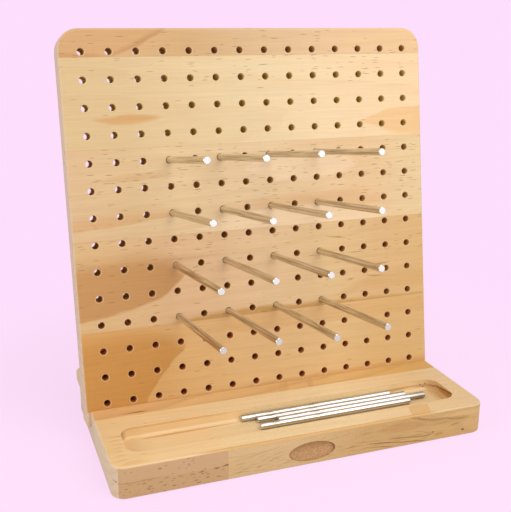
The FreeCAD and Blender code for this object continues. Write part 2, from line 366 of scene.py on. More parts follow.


# %% [markdown]
# ## Eased edges
#
# A maker sands the arrises of a board so that they don't splinter, and hands polish them
# afterwards. Such an edge is a little smoother than the faces it joins, and a painted highlight
# makes it paler, as a rounded edge catches the light. To find it, the
# material works out two distances: to the outline, which is a rectangle with round corners, and
# to the nearer of the two faces. On the eased edge both are small, so their sum is small.

# %% Finding the eased edges of a slab
def eased_edge(part, middle, half, corner, face_middle, face_half, width):
    """1 on the edges of a slab that lies along and up, and has its two faces out."""
    tree = part["tree"]
    plan = put(tree, "CombineXYZ", [part["along"], part["up"]])
    from_middle = put(tree, "VectorMath SUBTRACT", [plan, (*middle, 0)])
    folded = put(tree, "VectorMath ABSOLUTE", [from_middle])
    inner = put(tree, "VectorMath SUBTRACT", [folded, (half[0] - corner, half[1] - corner, 0)])
    beyond = put(tree, "VectorMath MAXIMUM", [inner, (0, 0, 0)])
    reach = put(tree, "VectorMath LENGTH", [beyond]).outputs["Value"]
    to_outline = put(tree, "Math SUBTRACT", [corner, reach])
    level = put(tree, "Math SUBTRACT", [part["out"], face_middle])
    depth = put(tree, "Math ABSOLUTE", [level])
    to_face = put(tree, "Math SUBTRACT", [face_half, depth])
    total = put(tree, "Math ADD", [to_outline, to_face])
    return region(tree, (total, width * 1.35, width * 0.75))


print("eased_edge:", eased_edge.__doc__)


# %% [markdown]
# ## Joining a material up
#
# The last step of each wooden material feeds the colour, the roughness and the bump to the
# surface shader. The bump's distance is a real depth in metres. Sanded pine has fibres
# standing a few hundredths of a millimetre proud, which is what gives it its silk.

# %% Finish a wooden surface
def finish_wood(part, edge=None):
    """Joins a pine recipe to its shader and returns the material."""
    tree = part["tree"]
    rough = put(tree, "MapRange", [part["fine"], 0.2, 0.8, 0.50, 0.64])
    if edge is not None:
        # Polished by hands: the edge is smoother than the face.
        rough = put(tree, "Math MULTIPLY_ADD", [edge, -0.1, rough])
    if "bore" in part:
        # A drilled wall is torn end grain and has no shine at all.
        rough = put(tree, "Math MULTIPLY_ADD", [part["bore"], 0.45, rough], use_clamp=True)
    bump = put(tree, "Bump", {"Strength": 0.5, "Distance": 0.00006, "Height": part["height"]})
    surface = put(tree, "BsdfPrincipled", {"Base Color": part["colour"], "Roughness": rough,
                                           "Normal": bump, "IOR": 1.5, "Specular IOR Level": 0.25})
    put(tree, "OutputMaterial", {"Surface": surface})
    return part["material"]


print("finish_wood:", finish_wood.__doc__)


# %% [markdown]
# ## The drilled grid
#
# Each hole's mouth has a tiny countersink that catches the light, and its pale ring is a painted
# highlight. Inside,
# a fast drill has scorched the resin, and the bore is dark brown. The holes are 20 mm apart both
# ways, so the distance from a point to the nearest hole comes from folding each coordinate back
# and forth with Ping-Pong, which is the same for all 196 holes.

# %% Rims and scorched bores
PITCH = 20.0
FIRST_COLUMN = -130.0
BOTTOM_ROW = 4.3
BOARD_THICK = 20.0
RIM_HIGHLIGHT = (3.4, 2.9)
BORE = (2.78, 2.68)


def drilled(part, scorch):
    """Adds the painted highlight of the rims and the scorched bores of the grid to a board stave's
    colour.
    """
    tree = part["tree"]
    across = put(tree, "Math SUBTRACT", [part["along"], FIRST_COLUMN])
    rise = put(tree, "Math SUBTRACT", [part["up"], BOTTOM_ROW])
    to_column = put(tree, "Math PINGPONG", [across, PITCH / 2])
    to_row = put(tree, "Math PINGPONG", [rise, PITCH / 2])
    off = put(tree, "CombineXYZ", [to_column, to_row])
    away = put(tree, "VectorMath LENGTH", [off]).outputs["Value"]
    middle = put(tree, "Math ADD", [part["out"], BOARD_THICK / 2])
    depth = put(tree, "Math ABSOLUTE", [middle])
    # Painted highlight: a pale ring round each hole's mouth.
    stain(part, "#fbe3bc", region(tree, (away, *RIM_HIGHLIGHT)), 0.32)
    part["bore"] = region(tree, (away, *BORE), (depth, BOARD_THICK / 2 - 0.2, BOARD_THICK / 2 - 0.5))
    stain(part, scorch, part["bore"])


print("a hole's pale rim reaches", RIM_HIGHLIGHT[0], "mm from its middle")

# %% [markdown]
# ## The five staves of the board
#
# The staves came from different logs, and that is what makes a glued-up board lively: a tan one
# at the top, a cream one under it, then a pinkish one full of resin canals, one with a big amber
# arch of heartwood at its left, and a golden one at the foot. Each stave's own marks are written
# down here in millimetres: along the stave from its middle, and up from the base. A mark is an
# outline, how soft its low and its high edge are, its colour and its strength.

# %% Marks of the top and second staves
def thick_near(bands):
    """Makes a rule for the share of cells with a canal: a list of heights in mm and shares."""
    def rule(tree, up):
        height = put(tree, "MapRange", {"Value": up, "From Max": SPAN})
        ramp = put(tree, "ValToRGB", {"Fac": height})
        stops = ramp.color_ramp.elements
        for i, (height, share) in enumerate(bands):
            stop = stops[i] if i < 2 else stops.new(height / SPAN)
            stop.position, stop.color = height / SPAN, (share, share, share, 1)
        return ramp
    return rule


# The colours of the three upper staves pale towards the right: partly the wood, partly painted light.
STAVES = {
    1: dict(heart=(330.0, -45.0), ring=7.5, climb=0.05,
            colours=((-147, "#deba8a"), (-95, "#d9b480"), (-50, "#d5b07e"), (-10, "#dbba8c"),
                     (40, "#e3c398"), (85, "#ebc99a"), (147, "#edcb9a")),
            canals=thick_near(((255, 0.3), (285, 0.3))),
            marks=((((-150, 250, 290), (-108, 258), (-98, 264), (-86, 269), (-74, 275), (-58, 283),
                     (-40, 290, 290)), (3.0, 1.0), "#d6aa76", 0.8),
                   (((-120, 259, 259), (-106, None, 266), (-101, 262), (-92, None, 272.5), (-88, 267),
                     (-80, None, 278), (-76, 273), (-60, 282, 286)), (3.0, 5.0), "#c0905c", 0.75),
                   (((-150, 258, 264.5), (-120, None, 263.5), (-98, 258, 258)), (0.5, 3.0),
                    "#c9965e", 0.6))),
    2: dict(heart=(205.0, -70.0), ring=9.0, climb=0.03,
            colours=((-147, "#dfc492"), (-100, "#e0c696"), (-60, "#e6cd9e"), (0, "#ecd7aa"),
                     (60, "#f4dbb0"), (147, "#f8daac")),
            canals=thick_near(((196, 0.03), (238, 0.05), (246, 0.4), (262, 0.4))),
            marks=((((-132, 215.5, 215.5), (-122, 212.8, 218), (-108, 210.6, 219.8), (-95, 210.6),
                     (-92, None, 219.8), (-80, 212.6, 218.4), (-66, 215.5, 215.5)), (3.4, 3.4),
                    "#d6a566", 0.8),
                   (((80, 206.5, 206.5), (92, 203.5, 209.5), (103, None, 213), (105, 200.3),
                     (115, None, 216.8), (116, 196.5), (128, 194), (130, None, 218.3),
                     (150, 192, 218.6)), (4.0, 2.5), "#f0c78c", 0.8))),
}
print("staves so far:", sorted(STAVES))

# %% [markdown]
# The third stave is the busiest. Its tint at the lower left fades upwards over 14 mm, which is how
# a ring that was cut very flat ends. On the fourth, four thin lens-shaped lines at the right are
# the tips of rings that the saw only just reached.

# %% Marks of the third, fourth and bottom staves
STAVES[3] = dict(
    heart=(95.0, -55.0), ring=8.0, climb=-0.04,
    colours=((-147, "#e0c194"), (-100, "#e0c494"), (-75, "#e8cd9e"), (0, "#eacfa3"), (90, "#ebcb9b"),
             (147, "#ead2a0")),
    canals=thick_near(((125, 0.1), (146, 0.2), (156, 0.6), (178, 0.6), (192, 0.3))),
    marks=((((-150, 133.6, 150), (-120, 136.0), (-100, 138.0, 153), (-85, 140.0), (-72, 141.6),
             (-70, None, 152), (-58, 147, 147)), (1.5, 14.0), "#d9a973", 0.7),
           (((-60, 141, 141), (-20, None, 150), (0, 139), (60, 138, 156), (105, None, 152),
             (112, 141), (120, 146, 146)), (5.0, 8.0), "#dfb07b", 0.45),
           (((-60, 130, 130), (-25, 124, 139.5), (90, 124, 139.5), (122, 130, 130)), (2.0, 3.0),
            "#fae0b8", 0.6),
           (((-20, 174, 174), (5, 163, 185), (70, 163, 185), (95, 174, 174)), (6.0, 6.0),
            "#fae0ba", 0.5),
           (((-140, 171, 171), (-100, 169, 177), (-50, 172, 172)), (2.5, 2.5), "#d8ab78", 0.4)))
STAVES[4] = dict(
    heart=(150.0, -38.0), ring=9.0, climb=0.05,
    colours=((-147, "#dcba85"), (-60, "#e5c093"), (0, "#ebcb9e"), (60, "#e6c793"), (100, "#e0bc87"),
             (147, "#dfba7e")),
    canals=thick_near(((60, 0.16), (72, 0.1), (95, 0.2), (104, 0.42), (127, 0.42))),
    marks=((((-150, 66, 118), (-130, 68.4), (-120, None, 121), (-110, 71.6), (-95, 75),
             (-90, None, 122), (-82, 79.5), (-74, 85.5), (-72, None, 116), (-66, 92),
             (-58, 102, 103)), (3.0, 19.0), "#c6945a", 0.9),
           (((-100, 104, 104), (-80, None, 112), (-40, 106, 112), (0, 108, 108)), (6.0, 6.0),
            "#c08f66", 0.5),
           (((-100, 55, 55), (-60, None, 64), (60, None, 64), (150, 55, 62)), (0.5, 4.0),
            "#c8984f", 0.85),
           (((50, 66, 66), (62, 64, 70), (100, 66, 82), (150, 66, 84)), (4.0, 6.0), "#d0a05c", 0.3),
           (((50, 118, 118), (64, 114, 115.4), (82, 112, 112)), (0.4, 0.8), "#b27c48", 0.6),
           (((68, 102, 102), (82, 99.5, 101), (98, 101, 101)), (0.4, 0.8), "#b27c48", 0.6),
           (((62, 95, 95), (84, 89.5, 91), (104, 88, 89.8), (120, 91, 91)), (0.4, 0.8), "#ad7642", 0.7),
           (((84, 82, 82), (98, 78, 79.8), (114, 80, 80)), (0.4, 1.0), "#b27c48", 0.6)))
STAVES[5] = dict(
    heart=(-70.0, -30.0), ring=9.0, climb=0.03,
    colours=((-147, "#dba866"), (-90, "#deb173"), (-60, "#e3ba7e"), (-20, "#e6c088"), (60, "#e9c68f"),
             (100, "#e1bd82"), (147, "#dcb87c")),
    canals=thick_near(((0, 0.05), (30, 0.05), (45, 0.08), (58, 0.1))),
    marks=((((-150, -10, 60), (-104, -8), (-98, 3), (-92, 11), (-85, None, 60), (-84, 21),
             (-76, 30), (-72, None, 54), (-67, 38), (-62, 46, 46)), (3.0, 18.0), "#cb934a", 0.85),
           (((-150, -10, 4), (-60, None, 3), (0, None, 4), (150, -10, 6)), (0.5, 4.0), "#d3924c", 0.5),
           (((-45, 54, 54), (-20, 44, 62), (0, 44, 62), (150, 44, 62)), (3.0, 8.0), "#d9a565", 0.3),
           # Painted light: the last mark pales the foot of the board down in the slot, where it lies in
           # shade.
           (((-150, -20, -0.6), (150, -20, -0.6)), (0.5, 0.5), "#e6d0ae", 0.85)))
print("staves:", sorted(STAVES))

# %% [markdown]
# Two staves meet in a glue line. It is hardly there: a darker hairline, because the glue has
# soaked a little way in. The heights of the four lines are read from the CAD pieces, turned
# to the board's own direction. The stave materials are then made one by one, and each goes into
# the slot of its CAD piece. The mesh is not touched. How brown the drill has burnt the bores
# differs from stave to stave as well.

# %% Make the stave materials and put them on
BOARD_HALF = 146.5
BOARD_TOP = 280.8
BOARD_CORNER = 16.0
BOARD_EASED = 1.4
SCORCH = {1: "#dbb473", 2: "#e6cd86", 3: "#dcb778", 4: "#d1a259", 5: "#d5944f"}


def dress(piece, material):
    """Puts a material into the slot of a CAD piece."""
    frame["nodes"][piece].material_slots[0].material = material


def heights_on_the_board(node):
    """The lowest and highest point of a piece in mm up the board's face."""
    rises = [(vertex.co - board_foot).dot(up_the_board) / MM for vertex in node.data.vertices]
    return min(rises), max(rises)


def glue_lines(part, low, high):
    """Darkens the last few tenths of a millimetre beside the joints above and below."""
    tree, half = part["tree"], (high - low) / 2
    middle = put(tree, "Math SUBTRACT", [part["up"], (low + high) / 2])
    depth = put(tree, "Math ABSOLUTE", [middle])
    stain(part, "#b3834f", region(tree, (depth, half - 0.5, half - 0.1)), 0.15)


for number, recipe in STAVES.items():
    low, high = heights_on_the_board(frame["nodes"]["board_stave_%d" % number])
    stave = pine("sanded_pine_stave_%d" % number, board_foot, board_turn, number, **recipe)
    # The board's foot and its top edge are no joints, so their lines are moved off the wood.
    glue_lines(stave, low if number < 5 else low - 5, high if number > 1 else high + 5)
    drilled(stave, SCORCH[number])
    edge = eased_edge(stave, (0, BOARD_TOP - BOARD_HALF), (BOARD_HALF, BOARD_HALF), BOARD_CORNER,
                      -BOARD_THICK / 2, BOARD_THICK / 2, BOARD_EASED)
    # Painted highlight: the eased edge is made paler, where it catches the light.
    stain(stave, "#f4dfc2", edge, 0.15)
    dress("board_stave_%d" % number, finish_wood(stave, edge))
    print("stave", number, "from", round(low, 1), "to", round(high, 1), "mm,",
          len(stave["tree"].nodes), "nodes")

# %% [markdown]
# ## The base
#
# The base is glued from three pieces. The front stave is made of two lengths that meet in a butt
# joint. The rear stave is more orange and shows as a band at the foot of the board. A rail on top
# of it backs the board. For all of them the zero is put on the lower front edge of the base, so
# that a mark is given as mm along, mm back from the front face and mm up from the underside.
#
# A face is found as a region too: the top is the last few tenths of a millimetre of the base's
# height, and the eased edge at the front is what lies close to the top and to the front.

# %% Where the faces of the base are
base_low, base_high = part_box("base_front_left")[0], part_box("base_rear")[1]
BASE_HALF = base_high.x / MM
BASE_DEEP = (base_high.y - base_low.y) / MM
BASE_THICK = base_high.z / MM
BASE_CORNER = 10.0
BASE_EASED = 1.2
base_foot = (0, base_low.y, 0)
TRAY = dict(half=130.0, front=17.1, back=53.5, floor=15.5)


def front_face(part, back, full):
    """The front face, as far back as given in mm, but not the eased edge above it."""
    return region(part["tree"], (part["up"], back, full),
                  (part["out"], BASE_THICK - 0.3, BASE_THICK - 1.1))


def top_face(part):
    """The top of the base, without the tray's floor."""
    return region(part["tree"], (part["out"], BASE_THICK - 0.6, BASE_THICK - 0.2))


def edge_line(part, start, full):
    """The edge between front and top, which fades in from one place along it to another."""
    return region(part["tree"], (part["up"], 2.4, 1.6), (part["along"], start, full),
                  (part["out"], BASE_THICK - 1.6, BASE_THICK - 0.8))


print("base in mm:", [round(v, 1) for v in (2 * BASE_HALF, BASE_DEEP, BASE_THICK)])

# %% [markdown]
# ## Marks on one face
#
# The front face and the top of a stave are cut at right angles through the same rings, so they
# don't look alike: the top is cream and calm, the front is darker, with long flowing lines. Each
# mark is therefore kept to its own face, and there are four kinds. A tint is one patch of colour.
# Flow lines are thin lines of summer wood that follow a path along the stave, evenly spaced but
# never quite straight. A speck is a small oval, such as a pin knot or a canal that is cut open. A
# ring line is one single line of summer wood that can be followed by eye.

# %% Tints, flow lines, specks and ring lines on a face
def tint(part, face, outline, soft, hex_colour, share, upright=True):
    """Stains a patch of one face. Its outline is given along the stave, in mm up or mm back."""
    tree = part["tree"]
    rise = part["out"] if upright else part["up"]
    wavy = put(tree, "Math ADD", [rise, wandering(tree, part["spot"], 0.5, 18.0)])
    stain(part, hex_colour, face, patch(tree, part["along"], wavy, outline, soft), share)


def flow_lines(part, face, path, spacing, outline, soft, hex_colour, share):
    """Thin summer-wood lines that follow a path inside an outline, a spacing apart in mm."""
    tree = part["tree"]
    level = put(tree, "Math SUBTRACT", [part["out"], line_across(tree, part["along"], path)])
    moved = put(tree, "Math ADD", [level, wandering(tree, part["spot"], 1.5, 24.0)])
    turns = put(tree, "Math PINGPONG", [moved, spacing / 2])
    # A line comes and goes along the stave, as a thin cut through a ring does.
    strength = region(tree, (fibres(tree, part["spot"], 2.2, 12.0), 0.42, 0.64))
    zone = patch(tree, part["along"], part["out"], outline, soft)
    thin = region(tree, (turns, spacing * 0.2, spacing * 0.03))
    stain(part, hex_colour, face, thin, strength, zone, share)


def speck(part, face, x, rise, half_long, half_high, hex_colour, share, upright=True):
    """A small oval mark at a place in mm along, and up or back."""
    scale = (1 / half_long, 0, 1 / half_high) if upright else (1 / half_long, 1 / half_high, 0)
    away = distance(part["tree"], part["flat_spot"], scale, (x, rise, rise))
    stain(part, hex_colour, face, region(part["tree"], (away, 1.2, 0.7)), share)


def ring_line(part, face, path, wide, hex_colour, share):
    """One line of summer wood along a path in mm, which runs out thin at both ends."""
    halves = [0, *[wide / 2] * (len(path) - 2), 0]
    outline = [(x, rise - half, rise + half) for (x, rise), half in zip(path, halves)]
    tint(part, face, outline, (0.4, 0.4), hex_colour, share)


print("four ways to mark a face")

# %% [markdown]
# ## The routed tray
#
# The long tray was routed into the front stave after gluing. Its wall is found as what lies
# below the base's top and above the tray's floor, inside the tray's outline. At the left the wall
# is darker under its top edge. Behind the pegs painted light makes it paler, against the shade the
# pegs cast there, with one orange line. At its foot a painted highlight pales the fillet where the
# cutter met the floor. At the right end the cutter ran across the grain: it tore the edge, where two
# pale nicks are painted highlights, burnt a dark streak that falls away from the top, and left a few
# burnt specks in the corner behind it.

# %% The routed tray
def routed_tray(part):
    """Adds the tray's walls with painted light and shade, its burnt right end and the seam on its floor
    to a front piece.
    """
    tree, x, y, z = part["tree"], part["along"], part["up"], part["out"]
    half, front, back, floor = (TRAY[key] for key in ("half", "front", "back", "floor"))
    left_x = put(tree, "Math MULTIPLY", [x, -1.0])
    within = region(tree, (y, front - 0.6, front - 0.2), (y, back + 0.6, back + 0.2),
                    (x, half + 0.6, half + 0.2), (left_x, half + 0.6, half + 0.2))
    sunk = region(tree, (z, BASE_THICK - 0.15, BASE_THICK - 0.5))
    cut = together(tree, within, sunk)
    # Walls that run with the grain.
    at_back = region(tree, (y, back - 3.0, back - 1.0))
    upper = region(tree, (z, BASE_THICK - 2.4, BASE_THICK - 1.0))
    stain(part, "#f0d099", cut, region(tree, (z, floor + 1.0, floor + 3.0)), 0.5)
    stain(part, "#cb924c", cut, at_back, upper, region(tree, (x, -20.0, -60.0)), 0.45)
    # Behind the pegs painted light makes the wall paler, against the shade the pegs cast, with one
    # orange line of summer wood low at the right.
    wall = together(tree, within, at_back)
    stain(part, "#ffdca4", wall, sunk, region(tree, (x, -62.0, -20.0), (x, 118.0, 108.0)), 0.85)
    tint(part, wall, ((80, 19, 19), (97, 17.8, 20.8), (115, 18.6, 20.4)), (0.8, 0.8), "#cc9444", 0.55)
    # Painted highlight: a paler band at the wall's foot, on the fillet that turns up to the light.
    lit_fillet = region(tree, (z, floor + 2.6, floor + 1.2), (z, floor + 0.05, floor + 0.4))
    stain(part, "#f6dfb6", wall, lit_fillet, 0.7)
    # The seam of summer wood on the floor beside the sweep.
    seam = patch(tree, x, y, ((-118, 49.0, 49.0), (-108, 48.2, 50.4), (-60, 48.6, 50.6),
                              (-44, 49.3, 50.4), (-30, 50.5, 50.5)), (0.6, 0.6))
    stain(part, "#cc9552", within, region(tree, (z, floor + 1.2, floor + 0.3)), seam, 0.7)
    # The left end is cut across the grain but cleanly; painted shade darkens its wall.
    left_end_shade = region(tree, (left_x, half - 6.0, half - 1.0), (z, floor + 0.3, floor + 3.0))
    stain(part, "#b9874e", cut, left_end_shade, 0.65)
    # The right end. The streak runs down from the front corner to the back one.
    stain(part, "#dbb37c", cut, region(tree, (x, half - 9.0, half - 4.0)), 0.8)
    chatter = put(tree, "VectorMath MULTIPLY", [part["spot"], (0.7, 0.7, 0.25)])
    torn = put(tree, "TexNoise", {"Vector": chatter, "Scale": 1.0, "Detail": 3.0})
    slant = put(tree, "Math MULTIPLY_ADD", [y, 0.15, z])
    ragged = put(tree, "Math MULTIPLY_ADD", [torn, 2.5, slant])
    stain(part, "#b27d4a", cut, region(tree, (ragged, 28.6, 27.6), (y, 48.0, 38.0),
                                       (x, half - 5.5, half - 2.0), (z, floor + 1.0, floor + 3.5)), 0.85)
    stain(part, "#6d4120", cut, region(tree, (x, half - 22.0, half - 8.0), (ragged, 29.4, 28.6),
                                       (ragged, 26.9, 27.8), (y, 62.0, 38.0)), 0.75)
    lip = region(tree, (z, BASE_THICK - 3.2, BASE_THICK - 2.2))
    # Painted highlights: two pale nicks in the torn edge.
    for nick_x, nick_y in ((123.2, 50.4), (125.6, 48.4)):
        speck(part, lip, nick_x, nick_y, 0.6, 1.8, "#fff0cf", 0.8, upright=False)
    behind = region(tree, (y, 43.0, 45.0))
    for burn_x, burn_z in ((119.0, 19.6), (121.4, 17.8), (123.0, 20.4)):
        speck(part, behind, burn_x, burn_z, 0.9, 0.6, "#7a4d28", 0.7)
    carve(part, torn, 4.0)


def finish_base(part):
    """Paints a highlight on the eased edges of a base piece and joins its material up."""
    edge = eased_edge(part, (0, BASE_DEEP / 2), (BASE_HALF, BASE_DEEP / 2), BASE_CORNER,
                      BASE_THICK / 2, BASE_THICK / 2, BASE_EASED)
    # Painted highlight: the eased edges are made paler, where they catch the light.
    stain(part, "#f3dcbc", edge, 0.18)
    return finish_wood(part, edge)


print("tray from", TRAY["front"], "to", TRAY["back"], "mm back")

# %% [markdown]
# ## The left length of the front stave
#
# Its front face is a dull pinkish tan, full of fine canals that are cut open lengthwise, and a
# shade darker in its lower half. The brown line between the two begins at the left end and runs
# out well before the joint. At the joint there are two short dark streaks, a pitch pocket and a
# canal, and a short dark crack crosses the rounded corner at the far left. On the top, seven
# short amber streaks at the left are the tips of rings.

# %% The left length of the front stave
left = pine("sanded_pine_front_left", base_foot, 0.0, 11,
            colours=((-147, "#efc992"), (-110, "#f7d5a0"), (-64, "#f8d6a3")), heart=(33.0, 60.0),
            ring=6.5, climb=0.03, canals=0.04, ring_share=0.08, end_colour="#e0cdae")
tree = left["tree"]
front = front_face(left, 2.1, 1.8)
stain(left, "#caa77d", front, 0.9)
for mark in (
        (((-150, -1, 11.6), (-100, None, 11.8), (-72, None, 12.3), (-60, -1, 13)), (0.5, 0.4),
         "#c4a172", 0.55),
        (((-150, 11.1, 12.7), (-140, 11.1, 12.7), (-118, 11.4, 12.8), (-96, 12.2, 12.2)), (0.5, 0.5),
         "#a77a47", 0.42),
        (((-70.5, 11.2, 11.2), (-67, 11.3, 12.3), (-60, 12.2, 13.6)), (0.25, 0.3), "#5c3416", 0.85)):
    tint(left, front, *mark)
for x, z, half_long, half_high, share in (
        (-72.4, 11.0, 1.9, 0.5, 0.75), (-80.9, 12.4, 0.9, 0.4, 0.5), (-82.6, 10.9, 1.5, 0.45, 0.5),
        (-83.2, 9.3, 0.7, 0.4, 0.5), (-90.0, 9.7, 2.0, 0.4, 0.45), (-97.3, 9.6, 1.0, 0.4, 0.45),
        (-102.9, 9.2, 0.9, 0.4, 0.5), (-104.0, 7.9, 0.7, 0.35, 0.45), (-96.4, 4.5, 1.1, 0.35, 0.4),
        (-117.4, 4.7, 0.7, 0.4, 0.6), (-133.3, 5.2, 0.6, 0.4, 0.5), (-84.4, 2.9, 0.7, 0.45, 0.4),
        (-112.6, 18.8, 1.7, 0.4, 0.5), (-95.9, 20.1, 0.6, 0.35, 0.45), (-136.2, 20.1, 0.5, 0.4, 0.4),
        (-131.8, 19.6, 0.7, 0.4, 0.4), (-127.0, 9.9, 0.8, 0.4, 0.4), (-79.4, 5.6, 1.3, 0.4, 0.4)):
    speck(left, front, x, z, half_long, half_high, "#6f4520", share)
corner = region(tree, (left["up"], 8.5, 8.0))
tint(left, corner, ((-144, 14.2, 14.2), (-142.2, 12.9, 13.8), (-140.2, 12.5, 12.5)), (0.2, 0.2),
     "#5d4630", 0.8)
above_ring = region(tree, (left["out"], 14.0, 10.0))
stain(left, "#7d5638", front, resin_canals(tree, left["spot"], 0.8, 3.4, 0.8, 5.0), above_ring, 0.75)
stain(left, "#8a6440", front, resin_canals(tree, left["flat_spot"], 0.65, 2.8, 0.75, 5.0), 0.6)
top = top_face(left)
for back in (10.0, 16.5, 22.0, 27.5, 33.0, 38.0, 43.5):
    tint(left, top, ((-142, back, back), (-136, back - 0.7, back + 0.7), (-127, back, back)), (0.5, 0.5),
         "#d0954f", 0.45, upright=False)
tint(left, top, ((-141, 4, 4), (-132, 2, 7.5), (-112, 4, 4)), (1.5, 1.5), "#dfab60", 0.3, upright=False)
# Painted shade: a warm line on the rounded edge between front and top, fading in towards the joint.
stain(left, "#d59f45", edge_line(left, -92.0, -72.0), 0.7)
routed_tray(left)
dress("base_front_left", finish_base(left))
print("front left:", len(tree.nodes), "nodes")

# %% [markdown]
# ## The right length, with its bare oval
#
# On the long front piece there is a shallow oval recess. It is left bare: only the routed and
# lightly toasted floor that such a recess has, stippled by the cutter. Painted shade darkens its
# upper half and its wall, all but the lit bottom, as the top of the recess lies in shadow.

# %% The bare oval
OVAL = dict(x=-0.8, z=10.4, half_long=18.0, half_high=7.5)


def bare_oval(part):
    """The toasted, stippled floor of the shallow oval recess, with painted shade above and on its wall.
    """
    tree = part["tree"]
    away = distance(tree, part["flat_spot"], (1 / OVAL["half_long"], 0, 1 / OVAL["half_high"]),
                    (OVAL["x"], 0, OVAL["z"]))
    inside = region(tree, (away, 1.03, 1.0), (part["up"], 0.05, 0.35), (part["up"], 2.2, 1.8))
    # The stipple of the cutter is about a millimetre across, the finest that still shows.
    stipple = put(tree, "TexVoronoi", {"Vector": part["flat_spot"], "Scale": 0.75})
    dent = region(tree, (stipple.outputs["Distance"], 0.65, 0.1))
    stain(part, "#c9a171", inside)
    stain(part, "#8c6339", inside, dent, 0.5)
    # Painted shade over the upper half of the recess.
    stain(part, "#a3763f", inside, region(tree, (part["out"], 9.0, 16.0)), 0.6)
    # Painted shade on the wall near the rim, all but the bottom.
    stain(part, "#86592f", inside, region(tree, (away, 0.86, 0.98), (part["out"], 4.0, 12.0)), 0.6)
    carve(part, dent, -5.0)


print("oval, mm:", 2 * OVAL["half_long"], "by", 2 * OVAL["half_high"])

# %% [markdown]
# The front face of this length is olive tan. At the left the rings cross it in long slanting lines,
# and at the right they gather near the bottom and run out at a flat angle. Three groups of flow
# lines draw this. Over them go the tints of the livelier right end, then ten ring lines that can be
# told one from another, and two specks low down, which are pin knots. A warm line along the upper
# front edge is painted shade, where the rounded edge catches less light.

# %% The right length of the front stave
right = pine("sanded_pine_front_right", base_foot, 0.0, 12,
             colours=((-64, "#f6d9a6"), (-20, "#f6dbac"), (40, "#f8deb0"), (80, "#f1d2a4"),
                      (110, "#eaca99"), (147, "#e6c79a")), heart=(-46.0, -40.0), ring=7.0, climb=0.03,
             canals=0.02, ring_share=0.08, end_colour="#dcbd90")
tree = right["tree"]
front = front_face(right, 9.0, 4.0)
stain(right, "#d4b582", front, 0.9)
tint(right, front, ((-70, 13, 27), (-20, 13, 27), (25, 14, 26), (50, 20, 20)), (5.0, 1.0),
     "#eacd9c", 0.2)
stain(right, "#cba76d", front, region(tree, (right["along"], -25.0, 55.0)), 0.85)
for lines in (
        (((-64, 3), (-30, 13), (10, 20), (147, 24)), 3.4, ((-64, 2, 16), (20, 2, 22)), (2.0, 3.0),
         "#a37a48", 0.35),
        (((10, 11), (40, 9.5), (70, 8), (98, 7.2), (120, 5), (147, 3)), 2.2,
         ((10, 3, 12), (40, None, 12), (60, 2.5), (70, None, 11), (98, 2, 9.5), (110, 3, 6),
          (125, 3, 3)), (1.0, 2.0), "#86602f", 0.4),
        (((20, 22), (60, 20), (90, 15), (147, 14)), 5.0, ((20, 12, 23), (147, 9, 23)), (3.0, 2.0),
         "#a77d47", 0.22)):
    flow_lines(right, front, *lines)
for mark in (
        (((44, 16, 16), (58, 13, 20), (80, 12, 21), (99, 14.5, 14.5)), (3.0, 2.0), "#c08c54", 0.4),
        (((92, 19, 19), (115, 17.6, 21.6), (130, 16.4, 22), (150, 15, 22)), (0.8, 2.0), "#e3c186", 0.5),
        (((90, 10, 10), (103, 7.2, 13), (124, 8, 8)), (1.5, 2.0), "#d9b674", 0.45),
        (((120, 9, 9), (133, 2, 17), (150, 2, 17)), (3.0, 3.0), "#dcb47c", 0.4),
        (((75, 22, 22), (81, 20, 22.2), (100, 13, 18), (118, 13, 15.8), (127, 14.6, 14.6)), (4.0, 0.8),
         "#b5894c", 0.35),
        (((98, 5, 5), (104, 3, 7.2), (110, 5, 5)), (1.0, 1.5), "#b98636", 0.5),
        (((111, 11, 11), (118, 9.6, 12.8), (126, 11, 11)), (1.0, 1.2), "#a57a38", 0.5),
        (((116, 15.4, 15.4), (125, 13.6, 17), (135, 15, 15)), (1.0, 1.0), "#ae883f", 0.4)):
    tint(right, front, *mark)
for path, wide, share in (
        (((74, 24), (80, 22.6), (86.5, 20.9), (93.5, 18.9), (101.5, 17.9), (109.5, 17.6), (115.5, 16.2),
          (122, 15.4), (132, 14.6)), 1.9, 0.4),
        (((36, 8.2), (51, 6.9), (61.5, 5.6), (71.5, 4.2), (81.5, 3.2), (89.5, 1.9), (96, 0.9)),
         1.1, 0.85),
        (((58, 8.3), (66.5, 7.9), (76.5, 7.0), (86.5, 6.1), (96.5, 6.0), (99.5, 7.0)), 1.2, 0.65),
        (((80, 11.2), (84.5, 10.3), (91.5, 8.6), (96.5, 6.9), (99, 6.2)), 0.8, 0.5),
        (((38, 4.8), (49, 3.7), (61, 2.3), (70, 1.1)), 1.0, 0.7),
        (((22, 5.4), (32, 4.6), (44, 3.0)), 0.8, 0.4),
        (((24, 10.6), (40, 9.6), (56, 8.9)), 0.7, 0.4),
        (((-64, 12), (-45, 15.5), (-30, 18.2), (-20, 19.6)), 1.0, 0.35),
        (((-38, 7.2), (-27, 10.8), (-18, 13.2)), 0.9, 0.4),
        (((-52, 4.2), (-40, 3.2), (-26, 1.8)), 0.8, 0.35)):
    ring_line(right, front, path, wide, "#8f6430", share)
speck(right, front, 125.4, 5.0, 1.3, 0.9, "#64380c", 0.8)
speck(right, front, 98.7, 7.5, 0.9, 0.6, "#64380c", 0.75)
tint(right, top_face(right), ((80, 1.5, 1.5), (85, None, 14.5), (97, 1.5), (102, 14, 15.5)), (1.5, 1.5),
     "#dba760", 0.5, upright=False)
# Painted shade: a warm line on the rounded edge between front and top, fading out at the right.
stain(right, "#d59f45", edge_line(right, 106.0, 92.0), 0.8)
bare_oval(right)
routed_tray(right)
dress("base_front_right", finish_base(right))
print("front right:", len(tree.nodes), "nodes")

